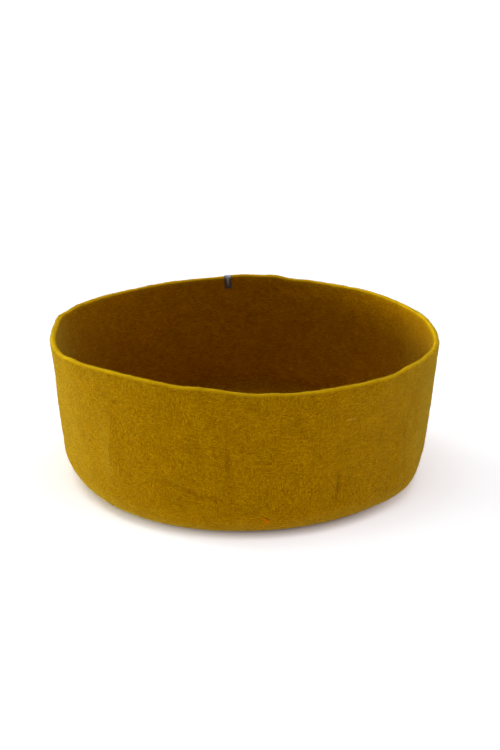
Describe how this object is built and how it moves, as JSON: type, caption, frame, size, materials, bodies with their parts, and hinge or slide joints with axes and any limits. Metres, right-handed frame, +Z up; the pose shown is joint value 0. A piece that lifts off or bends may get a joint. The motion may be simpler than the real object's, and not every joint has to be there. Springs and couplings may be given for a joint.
{
  "type": "felted dog bed",
  "caption": "Round one-piece felted wool pet bed: an open vessel with a soft flared wall, rounded bottom corner, flat base and a small tape tag folded over the rim.",
  "frame": {"origin": "middle of the flat base, on the surface that the bed stands on", "axes": "+Z up out of the open top, +Y towards the back of the rim where the tag is folded over, a few degrees to its side"},
  "size_m": [0.5006, 0.5004, 0.1975],
  "materials": {
    "wool_felt": "matte",
    "woven_tape": "matte"
  },
  "bodies": {
    "root": {"felt_bed": "wool_felt", "tape_tag": "woven_tape"}
  },
  "joints": []
}
